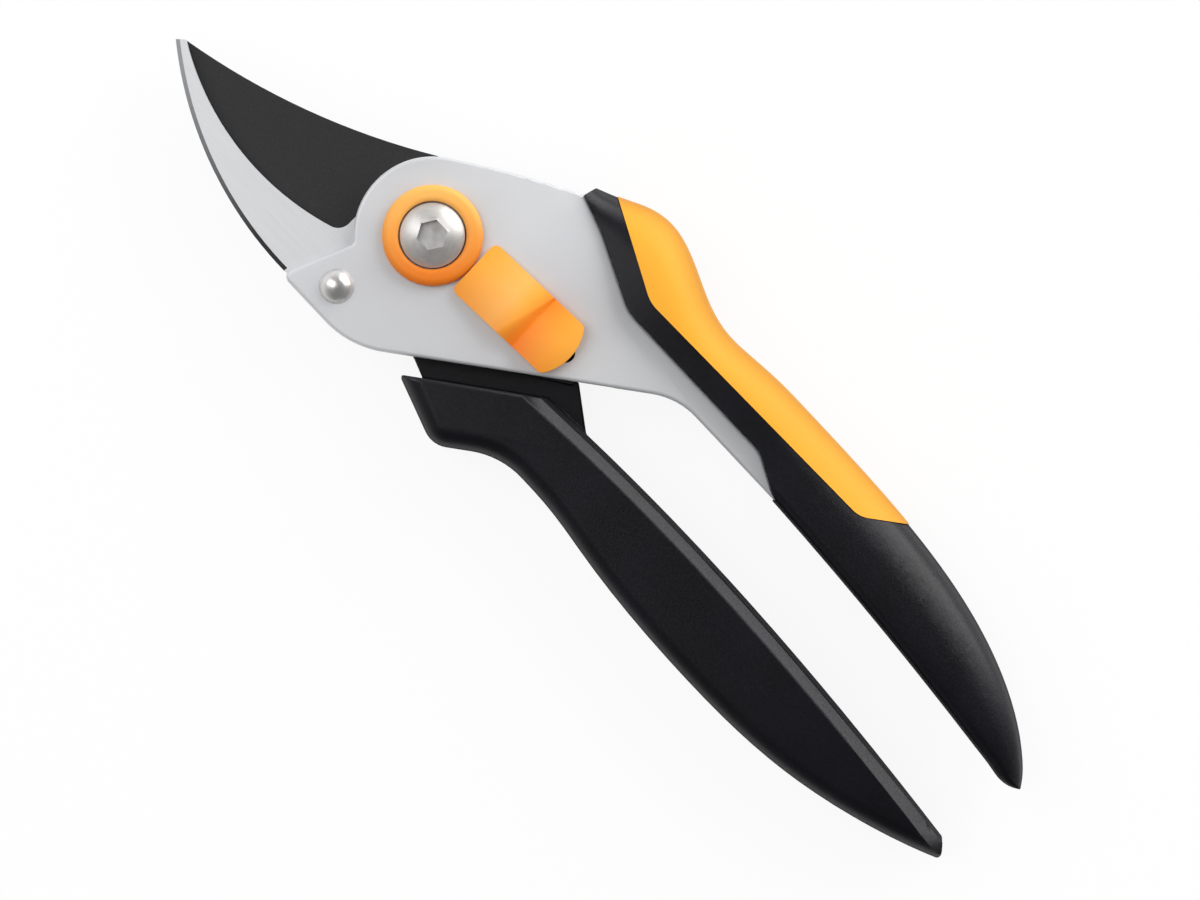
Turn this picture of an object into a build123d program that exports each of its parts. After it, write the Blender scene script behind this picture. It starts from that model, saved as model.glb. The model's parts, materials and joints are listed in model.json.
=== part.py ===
from build123d import *
import os
from math import asin, atan2, cos, degrees, hypot, pi, radians, sin

# One-hand bypass pruning shears, closed. The pivot axis is Z, +X runs towards the handle ends,
# +Y towards the upper handle and +Z out of the front face. Z = 0 is the flat back it lies on.

# Fits
RUN_GAP = 0.2        # play between faces that turn or slide on each other
BORE_GAP = 0.05      # radial play of a shaft in its bore
STOP_GAP = 0.35      # room between a stop and what meets it
CUT_OVER = 10.0      # how far a cut runs past the faces it opens

# Pivot stack, from the back to the front
BARREL_HEAD_R = 7.0
BARREL_HEAD_T = 1.8
BARREL_R = 4.0
BARREL_FLOOR = 1.2   # metal left behind the thread
BARREL_LIP = 0.5     # bevel round the flat back
TENSION_T = 0.4      # spring washer behind the hub
TENSION_INSET = 0.3
BUSH_WALL = 1.2
WEAR_ROOM = 1.0      # between the coil and the washer that parts blade and hook
WEAR_T = 0.6
HUB_T = 3.9          # plastic hub behind the blade
BLADE_T = 3.0
HOOK_T = 2.8
CASTING_T = 5.0
PIVOT_WASHER_T = 0.6
BOLT_R = 2.5
BOLT_HEAD_R = 6.2
BOLT_RIM = 0.9       # straight rim under the dome of the bolt head
BOLT_DOME = 2.0
BOLT_END_GAP = 1.2   # room between the bolt's end and the barrel's floor
HEX_ACROSS = 5.0
HEX_DEPTH = 1.9
RING_R = 9.2
RING_W = 2.6
RING_H = 2.1
RING_SPIGOT = 1.0
RING_ROUND = 1.3     # outer top edge
RING_INNER_ROUND = 0.7

# Jaws
HEAD_R = 14.4        # round front of the casting about the pivot
JAW_REACH = 58.2     # pivot to the tip of the hook
TIP_W = 1.9          # blunt end of the hook
TIP_Y = -9.6
HOOK_BELLY = (-JAW_REACH + 25.2, -15.05)   # lowest point of the hook's inner edge
GULLET = (-12.0, -11.6)
GULLET_R = 2.8
HOOK_BACK = (-JAW_REACH + 22.2, -20.95)    # middle of the hook's outer edge
HOOK_HEEL = (-13.9, -24.1)
HOOK_BEVEL = 0.8
HOOK_NECK = ((-12.3, -5.0), (0, 0), (6.0, -12.0))
HOOK_CORNER = (3.0, -21.8)
HOOK_CORNER_R = 3.0
HOOK_BURY = 2.0      # how far inside the casting's round head the hook's root stays
BLADE_BACK = (-JAW_REACH + 26.2, -0.75)    # middle of the blade's back
BLADE_ROOT = (-10.2, 10.6)     # where the back goes behind the casting
BLADE_LAP = 3.1      # how far the cutting edge passes behind the hook
BLADE_HEEL = (-15.6, -15.0)
BLADE_NECK = ((-8.0, -9.5), (0, 0), (-4.0, 12.0))
BLADE_BEVEL_W = 6.0
EDGE_T = 0.35        # thickness left at the cutting edge
RIVET_POS = (-5.2, -19.0)
RIVET_HEAD_R = 3.2
RIVET_HEAD_H = 1.9
RIVET_R = 2.0
RIVET_TAIL = 2.2     # stop that the tail leaves behind the hook

# Casting outline
LOBE_CORNER = (-13.9, -24.9)
LOBE_THROAT = (-8.6, -10.9)
BELLY_CORNER = (4.2, -24.9)
BELLY_R = 18.0
INNER_CORNER = (52.0, 12.4)
INNER_R = 14.0
FRONT_CORNER = (13.5, 25.1)
SHOULDER_ANGLE = 126.0   # where the upper edge leaves the round head
LOBE_ROUND = 1.5
THROAT_ROUND = 1.0
EDGE_ROUND = 0.7
STRIP_Y = 16.5       # upper edge of the bare strip along the handle
STRIP_BEND = (20.6, 22.85)
STRIP_START = 34.6
STRIP_END = 69.4
STRIP_TIP = 77.6
STRIP_RADII = [22.0, 8.0, 6.0]
SPINE_X = 44.0       # from here the casting is deep
SPINE_BACK = 3.0
SPINE_LEAN = 9.0     # how far the front of the spine leans

# Upper handle
HANDLE_T = 17.4
UPPER_NOSE = (17.8, 29.4)
NOSE_LIP = (14.0, 27.6)
UPPER_HUMP = (28.2, 33.1)
UPPER_WAIST = (50.0, 26.85)
UPPER_PALM = (66.0, 27.85)
UPPER_TAIL = (146.5, 9.3)
UPPER_INNER = 12.4   # inner edge of the grip
UPPER_FOOT = 7.55    # inner edge at the tail
UPPER_FLARE = 9.0    # how far the inner edge rises towards the nose
UPPER_LEVEL_X = 60.0
UPPER_TURN = 3.4     # length of the turn at the tail
NOSE_START = 11.0
NOSE_END = 40.0      # from here the handle has its full thickness
TAPER_X = 95.0       # from here both handles thin towards the tail
NOSE_HALF = 6.4      # half thickness at the nose
TAIL_HALF = 3.4      # half thickness at the tail
TAIL_THIN = 0.4      # width left at the tail
GRIP_T = 2.2
GRIP_PROUD = 0.2
GRIP_BEND = (36.0, 20.4)
GRIP_TURN = (90.2, 21.5)
GRIP_END = (98.4, 27.9)
GRIP_RADII = [0.0, 7.0, 5.0, 0.0, 0.0, 0.0]
TONGUE_HALF = 4.0    # casting rib inside the shell
TONGUE_Y = 21.6
TONGUE_END = 100.0
TONGUE_FRONT = ((19.5, 21.5), (26.5, 25.6), (38.5, TONGUE_Y))
TONGUE_UNDER = ((50.0, 14.0), (30.0, 15.0))
TONGUE_TIP = 3.5
TONGUE_FOOT = 14.6
TONGUE_ROUND = 1.5
SECTION_ROUND = 2.2
UPPER_PLACES = [0, 0.05, 0.09, 0.126, 0.163, 0.2, 0.24, 0.285, 0.33, 0.38, 0.43, 0.485, 0.54, 0.595, 0.65,
                0.705, 0.755, 0.805, 0.85, 0.89, 0.925, 0.955, 0.977, 0.992, 1]   # sections, along its length

# Lower handle
SHOULDER_TIP = (14.6, -21.4)
SHOULDER_END = (14.95, -21.95)
LOWER_KNEE = (35.9, -5.0)
LOWER_CREST = (75.0, -3.5)
LOWER_PALM = (110.0, -4.6)
LOWER_END = (143.2, -7.25)
LOWER_TIP = (146.0, -10.3)
TIP_SLOPE = (0.9, 0.44)
LOWER_HEEL = (27.6, -26.2)
HEEL_R = 5.0
LOWER_WAIST = ((37.7, -18.35), (46.5, -18.4))
WAIST_R = 16.0
LOWER_FLANK = (62.0, -19.95)
LOWER_BELLY = (90.0, -21.6)
LOWER_TAPER = (118.0, -19.4)
LOWER_TAIL_HALF = 5.0    # half thickness past the tip
TAIL_MID = (122.0, 0.8)  # where the tail has lost this much of its half thickness
OUTER_ROUND = 3.5
INNER_DRAFT = 1.1    # how far the inner side leans in
DRAFT_DEPTH = 5.5
INNER_CHAMFER = 1.8  # bevel along the inner edge
SHOULDER_BEVEL = 0.45
TIP_ROUND = 0.8      # corners of the tail
HUB_R = 13.2
FLANGE_LEFT = ((13.5, -17.7), (17.4, -19.1))
FLANGE_RIGHT = ((37.6, 1.1), (45.3, -4.3))
FLANGE_UNDER = ((24.0, -19.5), (46.0, -12.0), (50.0, -8.0))
FLANGE_INNER = ((33.5, 0.2), (11.0, -14.6))
EAR_ROOT = ((13.5, -17.6), (9.5, -12.5))

# Blade tang, lock and stops
TANG_WALL = 2.75     # metal outside the lock's notch
TANG_ROOT = ((12.5, -17.2), (5.5, -14.4), (-2.0, -10.5))
TANG_BURY = 2.0      # how far the tang's edge starts inside the hub
TOOTH_W = 6.0        # degrees
LOCK_ANGLE = 3.5     # direction of the lock's slot
LOCK_SIDE = 1.03     # distance of that line from the pivot axis
LOCK_TRAVEL = 4.0
PIN_R = 1.8
PIN_AT = 28.1        # along the slot, with the lock free
PIN_FOOT = 0.3       # how far the pin and the stop boss stay clear of the blade's back
PIN_RISE = 1.6       # pin inside the slider
BOSS_ROOT = 0.5
STOP_BOSS_R = 2.2
OPEN_ANGLE = 30.0
TANG_RIVETS = ((14.5, -7.0), (25.0, -3.9))
TANG_RIVET_R = 1.6
TANG_RIVET_HEAD_R = 2.8
TANG_RIVET_HEAD_H = 1.2
SLIDER_START = 9.3
SLIDER_END = 33.4
SLIDER_W = 11.7
SLIDER_H = 4.3
SLIDER_BOW = 2.0     # bow of the rear end
SLIDER_CORNER = 1.2
STEM_L = 5.5
STEM_RISE = 1.0
SLIDER_PROFILE = [(0, 0.36), (0.2, 0.5), (0.43, 0.84), (0.57, 0.4), (0.62, 1), (0.9, 0.94), (1, 0.55)]
SLIDER_RADII = [9.0, 2.4, 0.8, 0.8, 2.2]
SLIDER_SKEW = 0.06   # how much earlier the thumb scoop starts on the lower side, as a share of the length
SLIDER_SINK = 0.16   # how much deeper it is there, as a share of the height
SLIDER_SECTIONS = [-1.1, -0.55, 0, 0.55, 1.1]   # as shares of half the width
SLIDER_CROWN = 0.55  # fall of the top towards the sides
DRAG_START = 12.6    # bowed strip under the slider
DRAG_END = 18.8
DRAG_W = 5.0
DRAG_T = 0.3
DRAG_RISE = 0.5
KEEPER_T = 1.8
KEEPER_W = 6.0
KEEPER_START = 20.0
KEEPER_END = 30.2
KEEPER_ROUND = 1.0

# Opening spring
WIRE = 1.3
COIL_R = 10.25
COIL_PITCH = 1.75
COIL_TURNS = 1.75
SPRING_LEG = 2.2
LEG_ANGLE = 90.0     # where the fixed leg stands
LEG_BITE = 2.0       # leg inside the hook's root
KIDNEY_PLAY = 0.6
POCKET_GAP = 0.9     # room round the coil in its pocket
SKIRT_FLOOR = 1.2    # plastic behind the coil

# Levels that follow from the stack
HUB_Z = BARREL_HEAD_T + TENSION_T + RUN_GAP
BLADE_Z = HUB_Z + HUB_T
BLADE_TOP = BLADE_Z + BLADE_T
SHEAR_Z = BLADE_TOP + RUN_GAP
FACE_Z = SHEAR_Z + CASTING_T
HEAD_Z = FACE_Z + PIVOT_WASHER_T
MID_Z = HANDLE_T / 2
BUSH_R = BARREL_R + BORE_GAP + BUSH_WALL
WEAR_R = COIL_R - WIRE / 2 - WEAR_ROOM
WEAR_Z = BLADE_TOP + BORE_GAP
KEEPER_Z = SHEAR_Z + RUN_GAP
SPRING_Z = BLADE_Z - COIL_PITCH * COIL_TURNS - WIRE - RUN_GAP / 2
POCKET_Z = SPRING_Z - RUN_GAP / 2
SKIRT_Z = POCKET_Z - SKIRT_FLOOR


def polar(radius, angle):
    return (radius * cos(radians(angle)), radius * sin(radians(angle)))


def prism(face, low, high):
    return extrude(Pos(0, 0, low) * face, high - low, dir=(0, 0, 1))


def disc(radius, low, high, at=(0, 0)):
    return Pos(at[0], at[1], (low + high) / 2) * Cylinder(radius, high - low)


def washer(inner, outer, low, thickness):
    return disc(outer, low, low + thickness) - disc(inner, low, low + thickness)


def outline(points, radii):
    return make_face(FilletPolyline(*points, radius=radii, close=True))


def cap(radius, height, base):
    """Arc of a low dome, from its rim to its top on the axis."""
    ball = (radius ** 2 + height ** 2) / (2 * height)
    half = asin(radius / ball) / 2
    middle = (ball * sin(half), 0, base + height - ball * (1 - cos(half)))
    return ThreePointArc((radius, 0, base), middle, (0, 0, base + height))


def turned(points):
    """Solid of revolution about the pivot axis from (radius, height) points."""
    return revolve(make_face(Polyline(*[(r, 0, z) for r, z in points], close=True)), Axis.Z)


def ease(t):
    return t * t * (3 - 2 * t)


def between(x, start, end):
    """Smooth edge from one turning point of an outline to the next."""
    return start[1] + (end[1] - start[1]) * ease((x - start[0]) / (end[0] - start[0]))


def across(x):
    """Plane square to the handles, with its own x along tool Y and its own y along tool Z."""
    return Plane(origin=(x, 0, MID_Z), x_dir=(0, 1, 0), z_dir=(1, 0, 0))


def along_lock(u, v=0.0):
    """Point on the front, u along the lock's slot and v to the upper side of it."""
    a = radians(LOCK_ANGLE)
    side = v + LOCK_SIDE
    return (u * cos(a) - side * sin(a), u * sin(a) + side * cos(a))


LOCK_PLACE = Pos(*along_lock(0), 0) * Rot(0, 0, LOCK_ANGLE)


# Pivot hardware
def make_barrel_nut():
    bottom = BARREL_HEAD_T + BARREL_FLOOR
    hole = BOLT_R + BORE_GAP
    return turned([(0, 0), (BARREL_HEAD_R - BARREL_LIP, 0), (BARREL_HEAD_R, BARREL_LIP),
                   (BARREL_HEAD_R, BARREL_HEAD_T), (BARREL_R, BARREL_HEAD_T), (BARREL_R, FACE_Z),
                   (hole, FACE_Z), (hole, bottom), (0, bottom)])


def make_bolt():
    rim = HEAD_Z + BOLT_RIM
    top = rim + BOLT_DOME
    tip = BARREL_HEAD_T + BARREL_FLOOR + BOLT_END_GAP
    crown = cap(BOLT_HEAD_R, BOLT_DOME, rim)
    rest = Polyline((0, 0, top), (0, 0, tip), (BOLT_R, 0, tip), (BOLT_R, 0, HEAD_Z),
                    (BOLT_HEAD_R, 0, HEAD_Z), (BOLT_HEAD_R, 0, rim))
    bolt = revolve(make_face([crown, rest]), Axis.Z)
    socket = RegularPolygon(HEX_ACROSS / 2, 6, major_radius=False)
    return bolt - prism(socket, top - HEX_DEPTH, top + CUT_OVER)


def make_ring():
    inner = RING_R - RING_W
    ring = washer(inner, RING_R, FACE_Z, RING_H)
    rims = ring.edges().group_by(Axis.Z)[-1].sort_by(SortBy.RADIUS)
    ring = fillet(rims[-1], RING_ROUND)
    rims = ring.edges().group_by(Axis.Z)[-1].sort_by(SortBy.RADIUS)
    ring = fillet(rims[0], RING_INNER_ROUND)
    return ring + washer(inner, inner + RING_SPIGOT, FACE_Z - RING_SPIGOT, RING_SPIGOT)


# Hook: the fixed counter blade, stamped from plate
def hook_tip():
    return (-JAW_REACH, TIP_Y), (-JAW_REACH + TIP_W * 0.74, TIP_Y + TIP_W * 0.68)


def back_arc():
    return ThreePointArc(HOOK_HEEL, HOOK_BACK, hook_tip()[0])


def jaw_side(from_x):
    """Everything on the jaws' side of a line across the tool."""
    past = JAW_REACH + CUT_OVER
    return Pos(from_x - past / 2, 0, 0) * Box(past, 2 * past, 2 * past)


def ground_off(arc, profile):
    """Ring cut along an arc, from a profile of (distance from the arc, height) points."""
    ring = make_face(Polyline(*[(arc.radius + out, 0, z) for out, z in profile], close=True))
    return Pos(arc.arc_center.X, arc.arc_center.Y, 0) * revolve(ring, Axis.Z)


def hook_face():
    tip_out, tip_in = hook_tip()
    edge = ThreePointArc(tip_in, HOOK_BELLY, GULLET)
    neck = Polyline(GULLET, *HOOK_NECK, HOOK_CORNER, HOOK_HEEL)
    jaw = make_face([edge, neck, back_arc(), Line(tip_out, tip_in)])
    jaw = fillet(jaw.vertices().sort_by_distance((*GULLET, 0))[0], GULLET_R)
    jaw = fillet(jaw.vertices().sort_by_distance((*HOOK_CORNER, 0))[0], HOOK_CORNER_R)
    return jaw + Circle(HEAD_R - HOOK_BURY)


def make_hook():
    hook = prism(hook_face(), SHEAR_Z, SHEAR_Z + HOOK_T)
    top = SHEAR_Z + HOOK_T
    bevel = [(-HOOK_BEVEL, top), (CUT_OVER, top), (CUT_OVER, top - HOOK_BEVEL - CUT_OVER)]
    hook -= ground_off(back_arc(), bevel) & jaw_side(HOOK_HEEL[0])
    hook -= disc(BARREL_R + BORE_GAP, SHEAR_Z, FACE_Z)
    hook -= disc(RIVET_R, SHEAR_Z, FACE_Z, RIVET_POS)
    return hook - disc(WEAR_R, SHEAR_Z, WEAR_Z + WEAR_T)


def make_hook_rivet():
    at = Pos(*RIVET_POS, 0)
    crown = cap(RIVET_HEAD_R, RIVET_HEAD_H, FACE_Z)
    tail = SHEAR_Z - RIVET_TAIL
    rest = Polyline((0, 0, FACE_Z + RIVET_HEAD_H), (0, 0, tail), (RIVET_R, 0, tail),
                    (RIVET_R, 0, FACE_Z), (RIVET_HEAD_R, 0, FACE_Z))
    return at * revolve(make_face([crown, rest]), Axis.Z)


# Cutting blade with its tang
def angle_of(point):
    return degrees(atan2(point[1], point[0]))


def notch_sizes():
    """The lock pin's notch: lowest and highest angle, then the radii of its floor, its tooth and the tang."""
    pin_free = along_lock(PIN_AT)
    pin_lock = along_lock(PIN_AT + LOCK_TRAVEL)
    room = PIN_R + STOP_GAP
    free_r = hypot(*pin_free)
    lock_r = hypot(*pin_lock)
    low_a = angle_of(pin_free) - degrees(room / free_r)
    high_a = angle_of(pin_lock) + degrees(room / lock_r)
    return low_a, high_a, lock_r + room, free_r + room, lock_r + room + TANG_WALL


def tang_face():
    low_a, high_a, floor_r, tooth_r, tang_r = notch_sizes()
    end_a = high_a + TOOTH_W
    mid = (low_a + high_a) / 2
    tooth = (high_a + end_a) / 2
    return make_face([
        Line(polar(HUB_R - TANG_BURY, low_a), polar(floor_r, low_a)),
        ThreePointArc(polar(floor_r, low_a), polar(floor_r, mid), polar(floor_r, high_a)),
        Line(polar(floor_r, high_a), polar(tooth_r, high_a)),
        ThreePointArc(polar(tooth_r, high_a), polar(tooth_r, tooth), polar(tooth_r, end_a)),
        Line(polar(tooth_r, end_a), polar(tang_r, end_a)),
        ThreePointArc(polar(tang_r, end_a), polar(tang_r, end_a / 2), polar(tang_r, 0)),
        Polyline(polar(tang_r, 0), *TANG_ROOT, (0, 0), polar(HUB_R - TANG_BURY, low_a)),
    ])


def notch_cover():
    """Sector of the hub that closes the notch from behind."""
    low_a, high_a, floor_r, tooth_r, tang_r = notch_sizes()
    end_a = high_a + TOOTH_W
    rim = ThreePointArc(polar(tang_r, low_a), polar(tang_r, (low_a + end_a) / 2), polar(tang_r, end_a))
    return make_face([rim, Polyline(polar(tang_r, end_a), (0, 0), polar(tang_r, low_a))])


def edge_arc():
    """Cutting edge: the hook's inner edge, moved behind the hook by the lap."""
    tip = hook_tip()[1]
    middle = (HOOK_BELLY[0], HOOK_BELLY[1] - BLADE_LAP)
    return ThreePointArc(tip, middle, BLADE_HEEL)


def make_blade():
    tip = hook_tip()[1]
    edge = edge_arc()
    back = ThreePointArc(BLADE_ROOT, BLADE_BACK, tip)
    root = Polyline(BLADE_HEEL, *BLADE_NECK, BLADE_ROOT)
    face = make_face([edge, root, back]) + Circle(HUB_R) + tang_face()
    blade = prism(face, BLADE_Z, BLADE_TOP)
    blade -= disc(BUSH_R, BLADE_Z, BLADE_TOP)
    for spot in TANG_RIVETS:
        blade -= rivet_hole(spot)
    blade -= kidney()
    land = BLADE_TOP - EDGE_T
    flank = [(-BLADE_BEVEL_W, BLADE_Z), (CUT_OVER, BLADE_Z), (CUT_OVER, land), (0, land)]
    return blade - (ground_off(edge, flank) & jaw_side(-HEAD_R))


def rivet_hole(spot):
    return disc(TANG_RIVET_R, HUB_Z, BLADE_TOP, spot)


def make_tang_rivets():
    rivets = []
    for spot in TANG_RIVETS:
        shank = disc(TANG_RIVET_R, HUB_Z, BLADE_TOP, spot)
        head = turned([(0, HUB_Z), (TANG_RIVET_HEAD_R, HUB_Z),
                       (TANG_RIVET_HEAD_R * 0.6, HUB_Z - TANG_RIVET_HEAD_H), (0, HUB_Z - TANG_RIVET_HEAD_H)])
        rivets.append(shank + Pos(*spot, 0) * head)
    return rivets


# Opening spring, coiled in the hub round the pivot
def spring_start():
    return LEG_ANGLE - 360 * COIL_TURNS


def kidney():
    """Slot in the blade that lets the spring's fixed leg through while the blade turns."""
    wide = WIRE / 2 + STOP_GAP
    low = LEG_ANGLE - degrees(KIDNEY_PLAY / COIL_R)
    high = LEG_ANGLE + OPEN_ANGLE + degrees(KIDNEY_PLAY / COIL_R)
    band = Circle(COIL_R + wide) - Circle(COIL_R - wide)
    wedge = make_face(Polyline((0, 0), polar(3 * COIL_R, low), polar(3 * COIL_R, high), close=True))
    slot = prism(band & wedge, BLADE_Z, BLADE_TOP)
    for end in (low, high):
        slot += disc(wide, BLADE_Z, BLADE_TOP, polar(COIL_R, end))
    return slot


def make_spring():
    rise = COIL_PITCH * COIL_TURNS
    start = spring_start()
    low = SPRING_Z + WIRE / 2
    coil = Helix(COIL_PITCH, rise, COIL_R)
    section = Plane(origin=coil @ 0, z_dir=coil % 0) * Circle(WIRE / 2)
    body = Pos(0, 0, low) * Rot(0, 0, start) * sweep(section, coil, is_frenet=True)
    a = Vector(*polar(COIL_R, start), low)
    b = Vector(*polar(COIL_R, LEG_ANGLE), low + rise)
    out = Vector(*polar(1, start), 0)
    body += Pos(*a) * Sphere(WIRE / 2)
    body += Plane(origin=a, z_dir=out) * (Pos(0, 0, SPRING_LEG / 2) * Cylinder(WIRE / 2, SPRING_LEG))
    body += Pos(*b) * Sphere(WIRE / 2)
    return body + disc(WIRE / 2, b.Z, SHEAR_Z + LEG_BITE, (b.X, b.Y))


def coil_gap():
    """Least free space between one turn of the coil and the next, measured on points along it."""
    steps = 72
    points = []
    for i in range(int(COIL_TURNS * steps) + 1):
        points.append(Vector(*polar(COIL_R, 360 * i / steps), COIL_PITCH * i / steps))
    gaps = [(a - b).length for i, a in enumerate(points) for b in points[i + steps // 2:]]
    return min(gaps) - WIRE


def spring_hole():
    return disc(WIRE / 2 + BORE_GAP, SHEAR_Z, SHEAR_Z + HOOK_T, polar(COIL_R, LEG_ANGLE))


# Lock
def lock_bar(low, high, half, start, end):
    """Straight bar along the lock's line."""
    bar = Pos((start + end) / 2, 0) * Rectangle(end - start, 2 * half)
    return LOCK_PLACE * prism(bar, low, high)


def make_lock_pin():
    return LOCK_PLACE * disc(PIN_R, BLADE_Z + PIN_FOOT, FACE_Z + PIN_RISE, (PIN_AT, 0))


def make_keeper():
    plate = RectangleRounded(KEEPER_END - KEEPER_START, KEEPER_W, KEEPER_ROUND)
    plate = Pos((KEEPER_START + KEEPER_END) / 2, 0) * plate
    body = LOCK_PLACE * prism(plate, KEEPER_Z, KEEPER_Z + KEEPER_T)
    return body - make_lock_pin()


def make_drag_spring():
    """Bowed strip between slider and casting, which keeps the slider where it is set."""
    foot = FACE_Z + BORE_GAP
    middle = (DRAG_START + DRAG_END) / 2
    under = ThreePointArc((DRAG_START, foot), (middle, foot + DRAG_RISE), (DRAG_END, foot))
    over = Pos(0, DRAG_T) * under
    bow = make_face([under, over, Line(under @ 0, over @ 0), Line(under @ 1, over @ 1)])
    return LOCK_PLACE * extrude(Plane.XZ * bow, DRAG_W / 2, both=True)


def slider_side(share):
    """Side view of the slider at a share of its half width from the middle line."""
    low = FACE_Z + RUN_GAP / 2
    length = SLIDER_END - SLIDER_START
    top = low - SLIDER_CROWN * share ** 2
    crest = [(SLIDER_START + length * along, top + SLIDER_H * up) for along, up in SLIDER_PROFILE]
    crest[2] = (crest[2][0] + SLIDER_SKEW * share * length, crest[2][1])
    crest[3] = (crest[3][0], crest[3][1] + SLIDER_SINK * share * SLIDER_H)
    line = FilletPolyline(*crest, radius=SLIDER_RADII)
    rest = Polyline(crest[-1], (SLIDER_END, low), (SLIDER_START, low), crest[0])
    return Pos(0, share * SLIDER_W / 2, 0) * (Plane.XZ * make_face([line, rest]))


def make_slider():
    low = FACE_Z + RUN_GAP / 2
    half = SLIDER_W / 2
    side = loft([slider_side(share) for share in SLIDER_SECTIONS])
    rear = SLIDER_END - SLIDER_BOW
    sides = Polyline((rear, -half), (SLIDER_START, -half), (SLIDER_START, half), (rear, half))
    plan = make_face([sides, ThreePointArc((rear, half), (SLIDER_END, 0), (rear, -half))])
    plan = fillet(plan.vertices(), SLIDER_CORNER)
    pad = LOCK_PLACE * (side & prism(plan, low, low + SLIDER_H + CUT_OVER))
    pad -= lock_bar(low, FACE_Z + BORE_GAP + DRAG_RISE + DRAG_T, DRAG_W / 2 + BORE_GAP, DRAG_START - BORE_GAP,
                    DRAG_END + BORE_GAP)
    stem_end = KEEPER_START + STEM_L
    pad += lock_bar(KEEPER_Z + KEEPER_T, FACE_Z + STEM_RISE, PIN_R - BORE_GAP, KEEPER_START, stem_end)
    return pad - make_lock_pin()


# Casting
def strip_line():
    """Edge of the bare metal against the black shell, from the head to the strip's far tip."""
    return [FRONT_CORNER, STRIP_BEND, (STRIP_START, STRIP_Y), (STRIP_END, STRIP_Y), (STRIP_TIP, UPPER_INNER)]


def casting_face():
    start = polar(HEAD_R, SHOULDER_ANGLE)
    leave = (sin(radians(SHOULDER_ANGLE)), -cos(radians(SHOULDER_ANGLE)))
    upper = TangentArc(start, FRONT_CORNER, tangent=leave)
    strip = FilletPolyline(*strip_line(), radius=STRIP_RADII)
    lower = FilletPolyline((STRIP_TIP, UPPER_INNER), INNER_CORNER, BELLY_CORNER, LOBE_CORNER, LOBE_THROAT,
                           radius=[INNER_R, BELLY_R, LOBE_ROUND])
    close = Polyline(LOBE_THROAT, (0, 0), start)
    face = make_face([upper, strip, lower, close]) + Circle(HEAD_R)
    return fillet(face.vertices().sort_by_distance((*LOBE_THROAT, 0))[0], THROAT_ROUND)


def tongue_face():
    points = [*TONGUE_FRONT, (TONGUE_END - 2 * TONGUE_TIP, TONGUE_Y), (TONGUE_END, TONGUE_Y - TONGUE_TIP),
              (TONGUE_END - TONGUE_TIP, TONGUE_FOOT), *TONGUE_UNDER]
    return outline(points, TONGUE_ROUND)


def make_casting():
    face = casting_face()
    body = prism(face, SHEAR_Z, FACE_Z)
    rim = body.edges().group_by(Axis.Z)[-1]
    body = fillet(rim, EDGE_ROUND)
    front = SPINE_X - SPINE_LEAN
    deep = make_face(Polyline((front, UPPER_HUMP[1]), (SPINE_X, 0), (TONGUE_END, 0),
                              (TONGUE_END, UPPER_HUMP[1]), close=True))
    spine = prism(face & deep, SPINE_BACK, SHEAR_Z + RUN_GAP)
    spine = fillet(spine.edges().group_by(Axis.Z)[0], EDGE_ROUND)
    body += spine
    body += prism(tongue_face(), MID_Z - TONGUE_HALF, MID_Z + TONGUE_HALF)
    body -= prism(hook_face(), SHEAR_Z, SHEAR_Z + HOOK_T)
    body -= disc(BARREL_R + BORE_GAP, SHEAR_Z, FACE_Z)
    body -= disc(RIVET_R, SHEAR_Z, FACE_Z, RIVET_POS)
    inner = RING_R - RING_W
    body -= washer(inner, inner + RING_SPIGOT, FACE_Z - RING_SPIGOT, RING_SPIGOT)
    near = KEEPER_START - RUN_GAP
    far = PIN_AT + LOCK_TRAVEL
    body -= lock_bar(SHEAR_Z, KEEPER_Z + KEEPER_T + RUN_GAP / 2, KEEPER_W / 2 + RUN_GAP, near,
                     KEEPER_END + LOCK_TRAVEL + RUN_GAP)
    body -= lock_bar(SHEAR_Z, FACE_Z, PIN_R + BORE_GAP, near, far)
    body -= LOCK_PLACE * disc(PIN_R + BORE_GAP, SHEAR_Z, FACE_Z, (far, 0))
    low_a, high_a, floor_r, tooth_r, tang_r = notch_sizes()
    boss_r = (tooth_r + tang_r) / 2
    boss = polar(boss_r, high_a + TOOTH_W + degrees((STOP_BOSS_R + STOP_GAP) / boss_r))
    return body + disc(STOP_BOSS_R, BLADE_Z + PIN_FOOT, SHEAR_Z + BOSS_ROOT, boss)


# Upper handle
def upper_outer(x):
    if x <= UPPER_NOSE[0]:
        return UPPER_NOSE[1]
    if x <= UPPER_HUMP[0]:
        t = (x - UPPER_NOSE[0]) / (UPPER_HUMP[0] - UPPER_NOSE[0])
        return UPPER_NOSE[1] + (UPPER_HUMP[1] - UPPER_NOSE[1]) * sin(pi / 2 * t)
    if x <= UPPER_WAIST[0]:
        return between(x, UPPER_HUMP, UPPER_WAIST)
    if x <= UPPER_PALM[0]:
        return between(x, UPPER_WAIST, UPPER_PALM)
    t = (x - UPPER_PALM[0]) / (UPPER_TAIL[0] - UPPER_PALM[0])
    return UPPER_TAIL[1] + (UPPER_PALM[1] - UPPER_TAIL[1]) * max(0, 1 - t ** 3.4) ** 0.8


def upper_inner(x):
    if x <= UPPER_LEVEL_X:
        return UPPER_INNER + UPPER_FLARE * ((UPPER_LEVEL_X - x) / (UPPER_LEVEL_X - NOSE_START)) ** 2
    end = UPPER_TAIL[0] - UPPER_TURN
    if x <= end:
        t = (x - UPPER_LEVEL_X) / (end - UPPER_LEVEL_X)
        return UPPER_INNER - (UPPER_INNER - UPPER_FOOT) * t ** 1.9
    rise = UPPER_TAIL[1] - TAIL_THIN - UPPER_FOOT
    return UPPER_FOOT + rise * ((x - end) / UPPER_TURN) ** 2


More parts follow.
